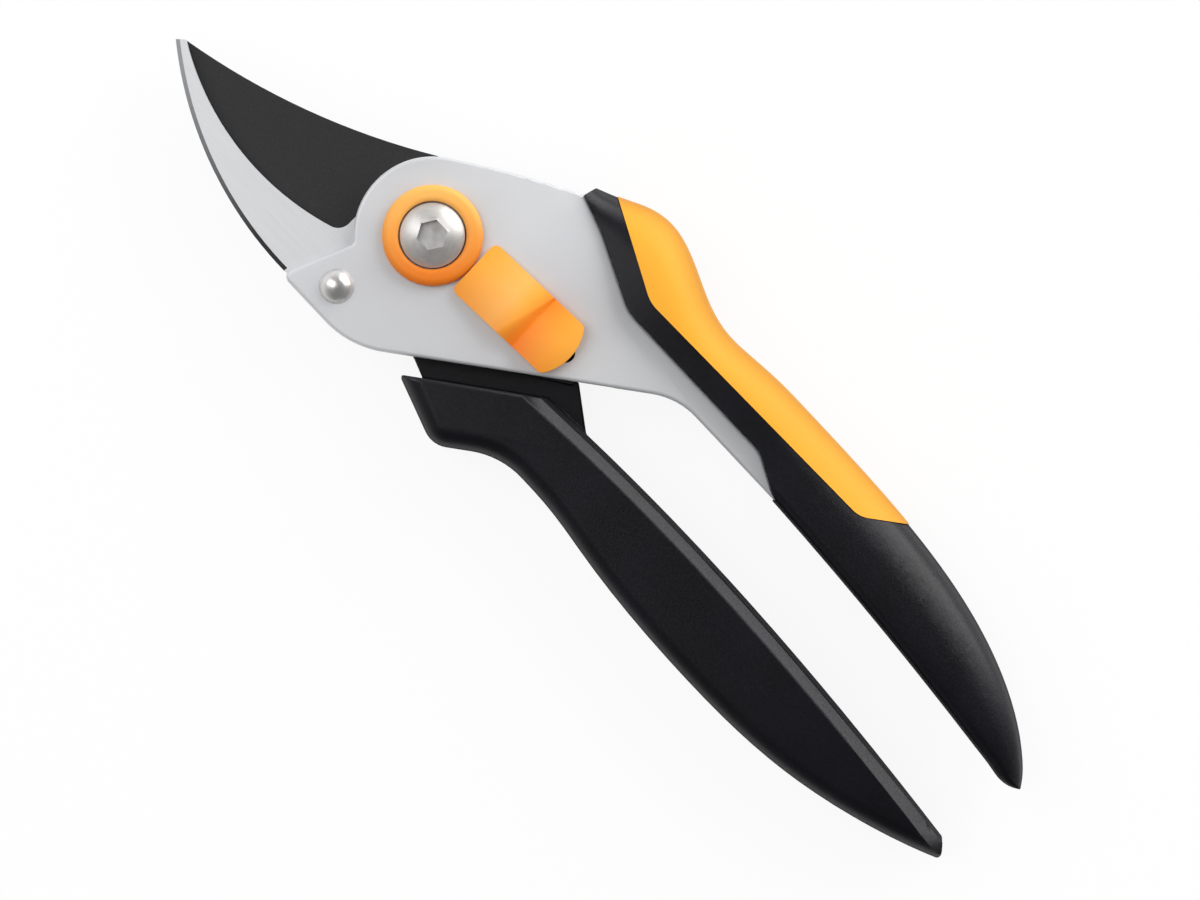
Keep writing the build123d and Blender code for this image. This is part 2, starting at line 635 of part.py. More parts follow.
def upper_half(x):
    if x <= NOSE_END:
        return NOSE_HALF + (MID_Z - NOSE_HALF) * ease((x - NOSE_START) / (NOSE_END - NOSE_START))
    t = max(0, (x - TAPER_X) / (UPPER_TAIL[0] - TAPER_X))
    return TAIL_HALF + (MID_Z - TAIL_HALF) * (1 - t ** 2.6)


def upper_section(x, inset):
    low = upper_inner(x) + inset
    high = max(upper_outer(x) - inset, low + TAIL_THIN)
    half = upper_half(x) - inset
    width = high - low
    corner = min(SECTION_ROUND, 0.3 * width, 0.6 * half)
    dip = corner * (1 - cos(pi / 4))
    nose = 0.55 * width
    start = high - nose
    pull = 0.6
    line = Line((low, corner - half), (low, half - corner))
    turn = ThreePointArc((low, half - corner), (low + dip, half - dip), (low + corner, half))
    flat = Line((low + corner, half), (start, half))
    swell = start + nose * pull
    round_front = Bezier((start, half), (swell, half), (high, half * pull), (high, 0))
    round_back = Bezier((high, 0), (high, -half * pull), (swell, -half), (start, -half))
    back = Line((start, -half), (low + corner, -half))
    last = ThreePointArc((low + corner, -half), (low + dip, dip - half), (low, corner - half))
    return across(x) * make_face([line, turn, flat, round_front, round_back, back, last])


def upper_form(inset):
    length = UPPER_TAIL[0] - NOSE_START
    return loft([upper_section(NOSE_START + length * place, inset) for place in UPPER_PLACES])


def grip_region():
    past = UPPER_HUMP[1] + CUT_OVER
    points = [UPPER_NOSE, GRIP_BEND, GRIP_TURN, GRIP_END, (GRIP_END[0], past), (NOSE_START, past)]
    return outline(points, GRIP_RADII)


def through(face):
    """Cut through the whole thickness of the tool."""
    return prism(face, -CUT_OVER, HANDLE_T + CUT_OVER)


def make_grip():
    skin = upper_form(-GRIP_PROUD) - upper_form(GRIP_T)
    return skin & through(grip_region())


def window():
    """What is cut away so that the casting lies bare along the inner side."""
    strip = FilletPolyline(*strip_line(), radius=STRIP_RADII)
    under = UPPER_INNER - CUT_OVER
    rest = Polyline((STRIP_TIP, UPPER_INNER), (STRIP_TIP, under), (-CUT_OVER, under),
                    (-CUT_OVER, FRONT_CORNER[1]), FRONT_CORNER)
    return make_face([strip, rest])


def nose_cut():
    """In front of the end face of the shell."""
    past = UPPER_HUMP[1] + CUT_OVER
    return make_face(Polyline(FRONT_CORNER, NOSE_LIP, UPPER_NOSE, (UPPER_NOSE[0], past), (-CUT_OVER, past),
                              (-CUT_OVER, FRONT_CORNER[1]), close=True))


def make_shell(casting, grip):
    shell = upper_form(0) - through(window()) - through(nose_cut())
    return shell - grip - casting


# Lower handle
def lower_face():
    shoulder = Line(SHOULDER_TIP, LOWER_KNEE)
    inner = Spline(LOWER_KNEE, LOWER_CREST, LOWER_PALM, LOWER_END)
    end = Line(LOWER_END, LOWER_TIP)
    heel = FilletPolyline(SHOULDER_TIP, SHOULDER_END, LOWER_HEEL, *LOWER_WAIST, radius=[0, HEEL_R, WAIST_R])
    leave = Vector(*LOWER_WAIST[1]) - Vector(*LOWER_WAIST[0])
    points = [LOWER_WAIST[1], LOWER_FLANK, LOWER_BELLY, LOWER_TAPER, LOWER_TIP]
    outer = Spline(*points, tangents=[leave, TIP_SLOPE])
    return make_face([shoulder, inner, end, outer, heel])


def lower_side():
    """Front half of the handle's side view, full to the taper and then thinner to the tail."""
    past = LOWER_TIP[0] + RUN_GAP
    mid = (TAIL_MID[0], HANDLE_T - TAIL_MID[1])
    low = (past, MID_Z + LOWER_TAIL_HALF)
    top = Spline((TAPER_X, HANDLE_T), mid, low, tangents=[(1, 0), (mid[0] - low[0], low[1] - mid[1])])
    rest = Polyline(low, (past, MID_Z), (0, MID_Z), (0, HANDLE_T), (TAPER_X, HANDLE_T))
    return Plane.XZ * make_face([top, rest])


def lower_half():
    half = prism(lower_face(), MID_Z, HANDLE_T) & extrude(lower_side(), 2 * abs(LOWER_HEEL[1]), both=True)
    half = fillet(half.edges().sort_by_distance((*LOWER_BELLY, HANDLE_T))[0], OUTER_ROUND)
    crest_x, crest_y = LOWER_CREST
    wall = half.faces().sort_by_distance((crest_x, crest_y, (MID_Z + HANDLE_T) / 2))[0]
    rim = half.edges().sort_by_distance((crest_x, crest_y, HANDLE_T))[0]
    half = chamfer(rim, DRAFT_DEPTH, INNER_DRAFT, reference=wall)
    rim = half.edges().sort_by_distance((crest_x, crest_y - INNER_DRAFT, HANDLE_T))[0]
    half = chamfer(rim, INNER_CHAMFER)
    shoulder = (Vector(*SHOULDER_TIP, HANDLE_T) + Vector(*LOWER_KNEE, HANDLE_T)) / 2
    half = chamfer(half.edges().sort_by_distance(shoulder)[0], SHOULDER_BEVEL)
    for corner in (LOWER_TIP, LOWER_END):
        half = fillet(half.edges().sort_by_distance((*corner, MID_Z + TIP_ROUND))[0], TIP_ROUND)
    return half


def flange_face():
    left_in, left_out = FLANGE_LEFT
    right_in, right_out = FLANGE_RIGHT
    corners = [left_in, left_out, *FLANGE_UNDER, right_out, right_in, *FLANGE_INNER]
    return make_face(Polyline(*corners, close=True))


def ear_face():
    """Ear that meets the hook rivet's tail when the handles are fully open."""
    r = hypot(*RIVET_POS)
    rivet = degrees(atan2(RIVET_POS[1], RIVET_POS[0]))
    face = rivet + OPEN_ANGLE + degrees((RIVET_R + STOP_GAP) / r)
    return make_face(Polyline(polar(r - RIVET_R, face), polar(r + RIVET_R, face), *EAR_ROOT, close=True))


def make_lower_handle(blade, spring_room):
    half = lower_half()
    body = half + mirror(half, about=Plane.XY.offset(MID_Z))
    edge = flange_face() + ear_face()
    body += prism(tang_face() + notch_cover() + Circle(HUB_R) + edge, HUB_Z, BLADE_Z)
    body += prism(edge, BLADE_Z, BLADE_TOP)
    body += washer(BARREL_HEAD_R + STOP_GAP, HUB_R, SKIRT_Z, HUB_Z - SKIRT_Z)
    body -= blade
    body -= disc(BUSH_R, HUB_Z, BLADE_TOP)
    body -= spring_room
    for spot in TANG_RIVETS:
        body -= rivet_hole(spot)
    return body


def make_spring_room():
    half = WIRE / 2 + POCKET_GAP
    room = washer(COIL_R - half, COIL_R + half, POCKET_Z, BLADE_Z - POCKET_Z)
    start = spring_start()
    a = Vector(*polar(COIL_R, start), SPRING_Z + WIRE / 2)
    out = Vector(*polar(1, start), 0)
    long = SPRING_LEG + RUN_GAP
    notch = Plane(origin=a, z_dir=out) * (Pos(0, 0, long / 2) * Cylinder(WIRE / 2 + BORE_GAP, long))
    return room + notch


def make_bush():
    return washer(BARREL_R + BORE_GAP, BUSH_R, HUB_Z, BLADE_TOP - HUB_Z)


casting = make_casting()
blade = make_blade()
grip = make_grip()
nodes = {
    "body_casting": casting,
    "hook_blade": make_hook() - spring_hole(),
    "hook_rivet": make_hook_rivet(),
    "upper_handle_shell": make_shell(casting, grip),
    "grip_insert": grip,
    "pivot_ring": make_ring(),
    "pivot_bolt": make_bolt(),
    "pivot_washer": washer(BOLT_R + BORE_GAP, RING_R - RING_W - RUN_GAP, FACE_Z, PIVOT_WASHER_T),
    "pivot_barrel_nut": make_barrel_nut(),
    "wear_washer": washer(BARREL_R + BORE_GAP, WEAR_R, WEAR_Z, WEAR_T),
    "tension_washer": washer(BARREL_R + BORE_GAP, BARREL_HEAD_R - TENSION_INSET, BARREL_HEAD_T, TENSION_T),
    "cutting_blade": blade,
    "blade_bush": make_bush(),
    "lower_handle": make_lower_handle(blade, make_spring_room()),
    "tang_rivets": Compound(children=make_tang_rivets()),
    "opening_spring": make_spring(),
    "lock_slider": make_slider(),
    "lock_pin": make_lock_pin(),
    "lock_keeper": make_keeper(),
    "lock_drag_spring": make_drag_spring(),
}

print("least gap between the spring's turns, mm:", round(coil_gap(), 2))
os.makedirs("parts", exist_ok=True)
for name, solid in nodes.items():
    export_step(solid, f"parts/{name}.step")
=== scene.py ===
import bmesh
import bpy
import json
from math import cos, radians, sin
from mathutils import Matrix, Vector
from mathutils.bvhtree import BVHTree
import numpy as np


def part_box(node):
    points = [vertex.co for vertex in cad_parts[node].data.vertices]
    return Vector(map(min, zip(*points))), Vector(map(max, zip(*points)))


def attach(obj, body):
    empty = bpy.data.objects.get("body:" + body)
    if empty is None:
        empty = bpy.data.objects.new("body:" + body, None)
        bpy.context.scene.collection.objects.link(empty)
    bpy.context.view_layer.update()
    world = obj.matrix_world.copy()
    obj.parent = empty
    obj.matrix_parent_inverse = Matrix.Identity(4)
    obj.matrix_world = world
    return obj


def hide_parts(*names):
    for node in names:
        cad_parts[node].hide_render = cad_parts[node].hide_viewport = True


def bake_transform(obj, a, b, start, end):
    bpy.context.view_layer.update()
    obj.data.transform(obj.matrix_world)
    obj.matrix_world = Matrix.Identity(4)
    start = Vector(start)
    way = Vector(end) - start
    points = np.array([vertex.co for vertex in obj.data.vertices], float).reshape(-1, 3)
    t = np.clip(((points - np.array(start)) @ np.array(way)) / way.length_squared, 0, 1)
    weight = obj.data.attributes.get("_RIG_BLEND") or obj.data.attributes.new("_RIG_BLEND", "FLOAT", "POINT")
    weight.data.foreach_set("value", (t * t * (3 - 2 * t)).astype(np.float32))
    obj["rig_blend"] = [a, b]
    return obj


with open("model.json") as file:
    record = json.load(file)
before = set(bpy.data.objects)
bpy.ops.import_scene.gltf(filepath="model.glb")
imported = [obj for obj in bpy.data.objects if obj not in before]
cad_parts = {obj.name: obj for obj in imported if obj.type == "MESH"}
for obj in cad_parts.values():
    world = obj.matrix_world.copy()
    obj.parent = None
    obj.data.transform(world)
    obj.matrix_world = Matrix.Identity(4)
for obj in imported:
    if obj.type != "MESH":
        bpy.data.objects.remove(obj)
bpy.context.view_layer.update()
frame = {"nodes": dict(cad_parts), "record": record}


# Head casting. A light-alloy casting, bead blasted to an even satin grey: the lobed head, the bare
# strip along the upper handle and the tongue inside the shell. Its rim is rounded all the way along.
WELD = 2e-6
FLAT_ANGLE = 0.3
CREASE = 35.0


def start_material(name):
    """A new Principled material with its Object coordinates."""
    material = bpy.data.materials.new(name)
    material.use_nodes = True
    tree = material.node_tree
    shader = next(n for n in tree.nodes if n.type == "BSDF_PRINCIPLED")
    place = tree.nodes.new("ShaderNodeTexCoord").outputs["Object"]
    return material, tree, shader, place


def turn_place(tree, place, stretch, angle):
    """Object coordinates turned about Z and stretched, for a pattern that runs along a piece."""
    mapping = tree.nodes.new("ShaderNodeMapping")
    mapping.inputs["Rotation"].default_value = (0, 0, radians(angle))
    mapping.inputs["Scale"].default_value = stretch
    tree.links.new(place, mapping.inputs["Vector"])
    return mapping.outputs["Vector"]


def add_noise(tree, place, scale, detail=3.0, roughness=0.5):
    noise = tree.nodes.new("ShaderNodeTexNoise")
    noise.inputs["Scale"].default_value = scale
    noise.inputs["Detail"].default_value = detail
    noise.inputs["Roughness"].default_value = roughness
    tree.links.new(place, noise.inputs["Vector"])
    return noise.outputs["Fac"]


def spread(tree, factor, low, high, start=0.3, end=0.7):
    """Map a pattern to a range of roughness or height."""
    ranged = tree.nodes.new("ShaderNodeMapRange")
    ranged.inputs["From Min"].default_value = start
    ranged.inputs["From Max"].default_value = end
    ranged.inputs["To Min"].default_value = low
    ranged.inputs["To Max"].default_value = high
    tree.links.new(factor, ranged.inputs["Value"])
    return ranged.outputs["Result"]


def two_tone(tree, factor, dark, light, start=0.3, end=0.7):
    """Colour that drifts between two close tones, or that carries painted shade where the factor follows a
    way or a slope.
    """
    ramp = tree.nodes.new("ShaderNodeValToRGB")
    ramp.color_ramp.elements[0].position = start
    ramp.color_ramp.elements[0].color = (*dark, 1)
    ramp.color_ramp.elements[1].position = end
    ramp.color_ramp.elements[1].color = (*light, 1)
    tree.links.new(factor, ramp.inputs["Fac"])
    return ramp.outputs["Color"]


def add_bump(tree, shader, height, depth, strength):
    bump = tree.nodes.new("ShaderNodeBump")
    bump.inputs["Strength"].default_value = strength
    bump.inputs["Distance"].default_value = depth
    tree.links.new(height, bump.inputs["Height"])
    tree.links.new(bump.outputs["Normal"], shader.inputs["Normal"])


def grained(name, values, noise, tones, rough, bump=None, drift=None, stretch=None, turn=0.0):
    """A material whose tone, gloss and relief follow one grain; noise is (scale, detail, roughness).

    With a drift, the tone follows that slower noise. With a stretch, the grain runs one way.
    """
    material, tree, shader, place = start_material(name)
    for socket_name, value in values.items():
        shader.inputs[socket_name].default_value = value
    if stretch:
        place = turn_place(tree, place, stretch, turn)
    grain = add_noise(tree, place, *noise)
    tone = add_noise(tree, place, *drift) if drift else grain
    tree.links.new(two_tone(tree, tone, *tones), shader.inputs["Base Color"])
    tree.links.new(spread(tree, grain, *rough), shader.inputs["Roughness"])
    if bump:
        add_bump(tree, shader, grain, *bump)
    return material


def soften(piece, width, limit):
    """A narrow rounding along a piece's edges."""
    rim = piece.modifiers.new("soft_edge", "BEVEL")
    rim.width = width
    rim.segments = 2
    rim.limit_method = limit
    return rim


def dress(node, body, material, crease=CREASE, edge=0.0, parts=()):
    """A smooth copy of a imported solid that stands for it, with soft edges where edge is given.

    parts are (test, material) pairs for the faces that look different.
    """
    source = frame["nodes"][node]
    mesh = source.data.copy()
    mesh.materials.clear()
    mesh.materials.append(material)
    for layer in [a for a in mesh.attributes if a.name in ("custom_normal", "UVMap")]:
        mesh.attributes.remove(layer)
    shape = bmesh.new()
    shape.from_mesh(mesh)
    bmesh.ops.remove_doubles(shape, verts=shape.verts, dist=WELD)
    bmesh.ops.dissolve_limit(shape, angle_limit=radians(FLAT_ANGLE),
                             verts=shape.verts, edges=shape.edges)
    shape.normal_update()
    for face in shape.faces:
        face.smooth = True
        face.material_index = 0
        for number, (test, _) in enumerate(parts, 1):
            if test(face):
                face.material_index = number
    shape.to_mesh(mesh)
    shape.free()
    for _, own in parts:
        mesh.materials.append(own)
    mesh.set_sharp_from_angle(angle=radians(crease))
    piece = bpy.data.objects.new("look_" + node, mesh)
    bpy.context.scene.collection.objects.link(piece)
    if edge:
        soften(piece, edge, "ANGLE").angle_limit = radians(crease)
    if body:
        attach(piece, body)
    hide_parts(node)
    return piece


cast_metal = grained("satin_casting", {"Metallic": 0.25}, (3200, 2, 0.7),
                     [(0.60, 0.605, 0.625), (0.65, 0.655, 0.67)], (0.36, 0.5),
                     bump=(0.00003, 0.5), drift=(45, 2))
dress("body_casting", "frame", cast_metal)


# Hook. The fixed counter blade, stamped from steel plate and ground, with a bevelled outer edge. It
# is let into the back of the casting and held by the domed rivet through the lobe.
def measure_along(tree, place, way, start, end, low=0.0, high=1.0):
    """Value that goes from low to high between two places along a direction."""
    along = tree.nodes.new("ShaderNodeVectorMath")
    along.operation = "DOT_PRODUCT"
    along.inputs[1].default_value = way
    tree.links.new(place, along.inputs[0])
    return spread(tree, along.outputs["Value"], low, high, start, end)


plate = grained("ground_plate", {"Metallic": 0.3}, (3, 4, 0.6),
                [(0.66, 0.665, 0.68), (0.70, 0.705, 0.72)], (0.34, 0.46),
                bump=(0.00001, 0.3), stretch=(30, 900, 900), turn=20)

# Painted shade: the bevel faces are coloured grey at the tip and near black towards the lobe, standing in
# for the dark reflection and shade the steep bevel shows.
BEVEL_TILT = (0.4, 0.95)
BEVEL_SHADE_SHARE = 0.3
jaw_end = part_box("hook_blade")[0][0]
bevel_steel, tree, shader, place = start_material("painted_shade_bevel")
shader.inputs["Metallic"].default_value = 0.6
fade = measure_along(tree, place, (1, 0, 0), jaw_end, jaw_end * BEVEL_SHADE_SHARE, 1.0, 0.0)
painted_dark_bevel = two_tone(tree, fade, (0.03, 0.03, 0.034), (0.34, 0.345, 0.36), 0.1, 0.9)
tree.links.new(painted_dark_bevel, shader.inputs["Base Color"])
scratch = add_noise(tree, place, 1800, 3)
tree.links.new(spread(tree, scratch, 0.34, 0.5), shader.inputs["Roughness"])


def on_bevel(face):
    return BEVEL_TILT[0] < face.normal.z < BEVEL_TILT[1]


dress("hook_blade", "frame", plate, parts=[(on_bevel, bevel_steel)])

polished = grained("polished_steel", {"Metallic": 0.8}, (700, 3),
                   [(0.68, 0.67, 0.66), (0.76, 0.75, 0.74)], (0.25, 0.35), bump=(0.00001, 0.3))
dress("hook_rivet", "frame", polished)


# Cutting blade. Hardened steel with a matt black non-stick coat, hollow ground towards its edge. Its
# tang is riveted into the lower handle and turns with it.
coat = grained("black_coat", {"Specular IOR Level": 0.35}, (2600, 3, 0.7),
               [(0.014, 0.014, 0.015), (0.024, 0.024, 0.0255)], (0.46, 0.6), bump=(0.00003, 0.5))
dress("cutting_blade", "lower", coat)


# Pivot. A domed steel bolt with a hexagonal socket runs into a barrel nut from the front, with a
# moulded orange ring round its head. Washers, a brass bush and the wire spring that opens the
# handles sit round the barrel.
SOCKET_REACH, SOCKET_DEEP, SOCKET_FLOOR = 0.003, 0.0025, 0.0014
UPRIGHT = 0.2
bolt_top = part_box("pivot_bolt")[1][2]
socket = grained("socket_steel", {"Metallic": 0.6}, (900, 3),
                 [(0.58, 0.57, 0.55), (0.7, 0.69, 0.67)], (0.3, 0.42))


def in_socket(face):
    middle = face.calc_center_median()
    inside = middle.xy.length < SOCKET_REACH and middle.z > bolt_top - SOCKET_DEEP
    return inside and (abs(face.normal.z) < UPRIGHT or middle.z < bolt_top - SOCKET_FLOOR)


HEAD_SHARE = 0.955
HEAD_SINK = 0.0002
head_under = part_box("body_casting")[1][2] - HEAD_SINK
dome = grained("satin_bolt", {"Metallic": 0.65}, (600, 3),
               [(0.58, 0.56, 0.54), (0.66, 0.645, 0.625)], (0.33, 0.45),
               bump=(0.00001, 0.3), stretch=(1, 1, 8))
bolt = dress("pivot_bolt", "frame", dome, parts=[(in_socket, socket)])
for vert in bolt.data.vertices:
    if vert.co.z > head_under and vert.co.xy.length > SOCKET_REACH:
        vert.co.xy *= HEAD_SHARE
dress("pivot_barrel_nut", "frame", polished)

PAINTED_SHADE_SIDE = (0.84, 0.68, 0.5)


def orange_moulding(name, way, start, end, tones, across, half):
    """Bright moulded plastic with painted light and shade along a way, and a faint random drift; tones are
    (share, colour) pairs.

    Painted shade makes it a little deeper on the side that lies against the way named across.
    """
    material, tree, shader, place = start_material(name)
    shader.inputs["Specular IOR Level"].default_value = 0.25
    shader.inputs["Subsurface Weight"].default_value = 0.15
    shader.inputs["Subsurface Radius"].default_value = (0.002, 0.001, 0.0004)
    # Painted light and shade along the way, with a faint random drift on top.
    painted_light_and_drift = tree.nodes.new("ShaderNodeMath")
    painted_light_and_drift.operation = "MULTIPLY_ADD"
    tree.links.new(add_noise(tree, place, 160, 2), painted_light_and_drift.inputs[0])
    painted_light_and_drift.inputs[1].default_value = 0.08
    tree.links.new(measure_along(tree, place, way, start, end), painted_light_and_drift.inputs[2])
    ramp = tree.nodes.new("ShaderNodeValToRGB")
    stops = ramp.color_ramp.elements
    for number, (share, colour) in enumerate(tones):
        stop = stops[number] if number < 2 else stops.new(share)
        stop.position = share
        stop.color = (*colour, 1)
    tree.links.new(painted_light_and_drift.outputs[0], ramp.inputs["Fac"])
    # Painted shade on the side against the across way.
    side = measure_along(tree, place, across, -half, half)
    painted_side_shade = tree.nodes.new("ShaderNodeMix")
    painted_side_shade.data_type = "RGBA"
    painted_side_shade.blend_type = "MULTIPLY"
    painted_side_shade.inputs["Factor"].default_value = 1.0
    tree.links.new(ramp.outputs["Color"], painted_side_shade.inputs["A"])
    tree.links.new(two_tone(tree, side, PAINTED_SHADE_SIDE, (1, 1, 1), 0.0, 0.7), painted_side_shade.inputs["B"])
    tree.links.new(painted_side_shade.outputs["Result"], shader.inputs["Base Color"])
    skin = add_noise(tree, place, 1900, 3, 0.6)
    tree.links.new(spread(tree, skin, 0.36, 0.5), shader.inputs["Roughness"])
    add_bump(tree, shader, skin, 0.00002, 0.4)
    return material


# Painted light and shade on the ring: its colour goes from deep orange at the bottom to lighter orange at
# the top, and the lower side is darkened again by painted shade.
RING_WAY = (-0.73, 0.68, 0)
RING_SHADED_TONES = [(0.05, (0.9, 0.25, 0.012)), (0.95, (0.97, 0.48, 0.11))]
BORE_R, BORE_DRAW, RING_CREST = 0.0066, 0.0004, 0.0079
ring_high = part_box("pivot_ring")[1][1]
orange = orange_moulding("orange_ring", RING_WAY, -ring_high, ring_high, RING_SHADED_TONES,
                         RING_WAY, ring_high)
ring = dress("pivot_ring", "frame", orange)
for vert in ring.data.vertices:
    reach = vert.co.xy.length
    if reach < RING_CREST and vert.co.z > head_under:
        vert.co.xy *= 1 - BORE_DRAW / reach * (RING_CREST - reach) / (RING_CREST - BORE_R)

dark_steel = grained("oiled_steel", {"Metallic": 1.0}, (500, 4),
                     [(0.10, 0.10, 0.105), (0.2, 0.2, 0.205)], (0.3, 0.5))
washer = dress("pivot_washer", "frame", dark_steel)
for vert in washer.data.vertices:
    if vert.co.xy.length > BORE_R / 2:
        vert.co.xy *= 1 - BORE_DRAW / BORE_R

spring_steel = grained("drawn_wire", {"Metallic": 1.0}, (900, 3),
                       [(0.3, 0.3, 0.31), (0.42, 0.42, 0.43)], (0.28, 0.42))
dress("tension_washer", "frame", spring_steel)
dress("lock_drag_spring", "lock", spring_steel)

TWIST_FROM, TWIST_TO = 0.0013, 0.0034
coil = dress("opening_spring", None, spring_steel)
coil_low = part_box("opening_spring")[0][2]
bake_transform(coil, "lower", "frame", start=(0, 0, coil_low + TWIST_FROM), end=(0, 0, coil_low + TWIST_TO))

brass = grained("turned_brass", {"Metallic": 1.0}, (400, 3),
                [(0.5, 0.34, 0.13), (0.66, 0.48, 0.22)], (0.26, 0.42))
dress("blade_bush", "lower", brass)
dress("wear_washer", "frame", brass)


# Lock. An orange thumb slider with a moulded thumb rest runs in a slot of the head; a steel pin under
# it drops into the tang's notch, and a plate behind the head keeps it in.
# Painted light and shade on the slider: a lighter painted highlight on the crest of the thumb rest and a
# deeper orange painted shade in the step behind it, with the plastic's own orange at both ends; one side is
# also darkened by painted shade.
SLIDER_SHADED_TONES = [(0.0, (0.94, 0.38, 0.03)), (1.0, (0.95, 0.41, 0.05)),
                (0.42, (0.97, 0.48, 0.11)), (0.54, (0.98, 0.4, 0.045)),
                (0.65, (0.98, 0.25, 0.012)), (0.82, (0.95, 0.34, 0.03))]
SLIDER_FRONT, SLIDER_REAR, SLIDER_HALF = 0.0093, 0.0334, 0.00585
SLIDER_EDGE = 0.0004
SLIDER_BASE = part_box("body_casting")[1][2] + 0.0001
FRONT_H, CREST_H, VALLEY_H, HUMP_H = 0.00155, 0.0031, 0.00205, 0.0032
CREST_AT, VALLEY_AT, HUMP_AT = 0.52, 0.625, 0.88
CREST_SLANT, VALLEY_SLANT = 0.07, 0.00035
RAMP_POWER = 1.2
REAR_DROP = 0.0008
CROWN = 0.00055
CUTS_ALONG, CUTS_ACROSS = 48, 6
SKIRT_H = 0.0003
TOP_GAP, TOP_INSET = 0.00006, 0.00002
ABOVE = 0.05
slide_way = Vector(frame["record"]["behaviour"]["joints"][1]["axis"])
across_way = Vector((-slide_way.y, slide_way.x, 0))
thumb = orange_moulding("orange_slider", slide_way, SLIDER_FRONT, SLIDER_REAR, SLIDER_SHADED_TONES,
                        across_way, SLIDER_HALF)
slider = dress("lock_slider", "lock", thumb, edge=SLIDER_EDGE)


def eased(t):
    """Smooth step from 0 to 1, level at both ends."""
    t = min(max(t, 0.0), 1.0)
    return t * t * (3 - 2 * t)


def thumb_height(u, v):
    """Height of the thumb rest above the head: a ramp, a step down and a low hump."""
    crest = CREST_AT + CREST_SLANT * v
    valley = VALLEY_H + VALLEY_SLANT * v
    if u < crest:
        height = FRONT_H + (CREST_H - FRONT_H) * (max(u, 0) / crest) ** RAMP_POWER
    elif u < VALLEY_AT:
        height = CREST_H + (valley - CREST_H) * eased((u - crest) / (VALLEY_AT - crest))
    elif u < HUMP_AT:
        rise = sin(radians(90) * (u - VALLEY_AT) / (HUMP_AT - VALLEY_AT))
        height = valley + (HUMP_H - valley) * rise
    else:
        height = HUMP_H - REAR_DROP * ((u - HUMP_AT) / (1 - HUMP_AT)) ** 2
    return height - CROWN * v * v


def cut_across(form, spot, way):
    """Cut every face of a form along a plane, so that it can bend there."""
    everything = form.verts[:] + form.edges[:] + form.faces[:]
    bmesh.ops.bisect_plane(form, geom=everything, plane_co=spot, plane_no=way)


form = bmesh.new()
form.from_mesh(slider.data)
front = min(vert.co.dot(slide_way) for vert in form.verts if vert.co.z > SLIDER_BASE)
rear = max(vert.co.dot(slide_way) for vert in form.verts if vert.co.z > SLIDER_BASE)
for number in range(1, CUTS_ALONG):
    cut_across(form, slide_way * (front + (rear - front) * number / CUTS_ALONG), slide_way)
for number in range(1 - CUTS_ACROSS, CUTS_ACROSS):
    cut_across(form, across_way * SLIDER_HALF * number / CUTS_ACROSS, across_way)
roof = BVHTree.FromBMesh(form)
middle = slide_way * (front + rear) / 2
lifts = []
for vert in form.verts:
    inward = (middle - vert.co).xy.normalized() * TOP_INSET
    over = Vector((vert.co.x + inward.x, vert.co.y + inward.y, ABOVE))
    top = roof.ray_cast(over, Vector((0, 0, -1)))[0]
    if top and vert.co.z > SLIDER_BASE + SKIRT_H and top.z - vert.co.z < TOP_GAP:
        u = (vert.co.dot(slide_way) - front) / (rear - front)
        lifts.append((vert, SLIDER_BASE + thumb_height(u, vert.co.dot(across_way) / SLIDER_HALF)))
for vert, height in lifts:
    vert.co.z = height
form.to_mesh(slider.data)
form.free()
slider.data.set_sharp_from_angle(angle=radians(CREASE))
dress("lock_pin", "lock", dark_steel)
dress("lock_keeper", "lock", dark_steel)


# Upper handle. Black glass-filled nylon moulded round the casting's tongue, with a yellow soft grip
# moulded over its outer side. Both are gently crowned across their width.
def level_share(tree):
    """How level a face lies: 0 for a wall, 1 for the front and the back."""
    facing = tree.nodes.new("ShaderNodeSeparateXYZ")
    normal = tree.nodes.new("ShaderNodeTexCoord").outputs["Normal"]
    tree.links.new(normal, facing.inputs["Vector"])
    level = tree.nodes.new("ShaderNodeMath")
    level.operation = "ABSOLUTE"
    tree.links.new(facing.outputs["Z"], level.inputs[0])
    return level.outputs[0]


black, tree, shader, place = start_material("black_nylon")
shader.inputs["Specular IOR Level"].default_value = 0.36
shade = add_noise(tree, place, 90, 2)
nylon = two_tone(tree, shade, (0.0025, 0.0025, 0.0045), (0.0045, 0.0045, 0.0082))
tree.links.new(nylon, shader.inputs["Base Color"])
pits = add_noise(tree, place, 2200, 3, 0.65)
rough = tree.nodes.new("ShaderNodeMath")
tree.links.new(spread(tree, pits, 0.3, 0.42), rough.inputs[0])
tree.links.new(spread(tree, level_share(tree), 0.5, 0.0, 0.15, 0.5), rough.inputs[1])
tree.links.new(rough.outputs[0], shader.inputs["Roughness"])
add_bump(tree, shader, pits, 0.00004, 0.5)

MOULD_CREASE = 40
GRIP_EDGE = 0.00025
MID_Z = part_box("lower_handle")[1][2] / 2
CROWN_FROM, CROWN_FULL, CROWN_LAST = 0.055, 0.085, 0.146
CROWN_DROP = 0.13
FALL_FROM, FALL_OVER = 0.15, 0.6
INNER_MOST = 0.0125
CUT_LONG, CUT_LONG_COUNT = 0.003, 30
CUT_WIDE_FROM, CUT_WIDE, CUT_WIDE_COUNT = 0.008, 0.001, 20
BELOW_HANDLE, BEYOND_HANDLE = -0.05, 0.08
handle_sides = bmesh.new()
for node in ("upper_handle_shell", "grip_insert"):
    handle_sides.from_mesh(frame["nodes"][node].data)
handle_walls = BVHTree.FromBMesh(handle_sides)
handle_sides.free()


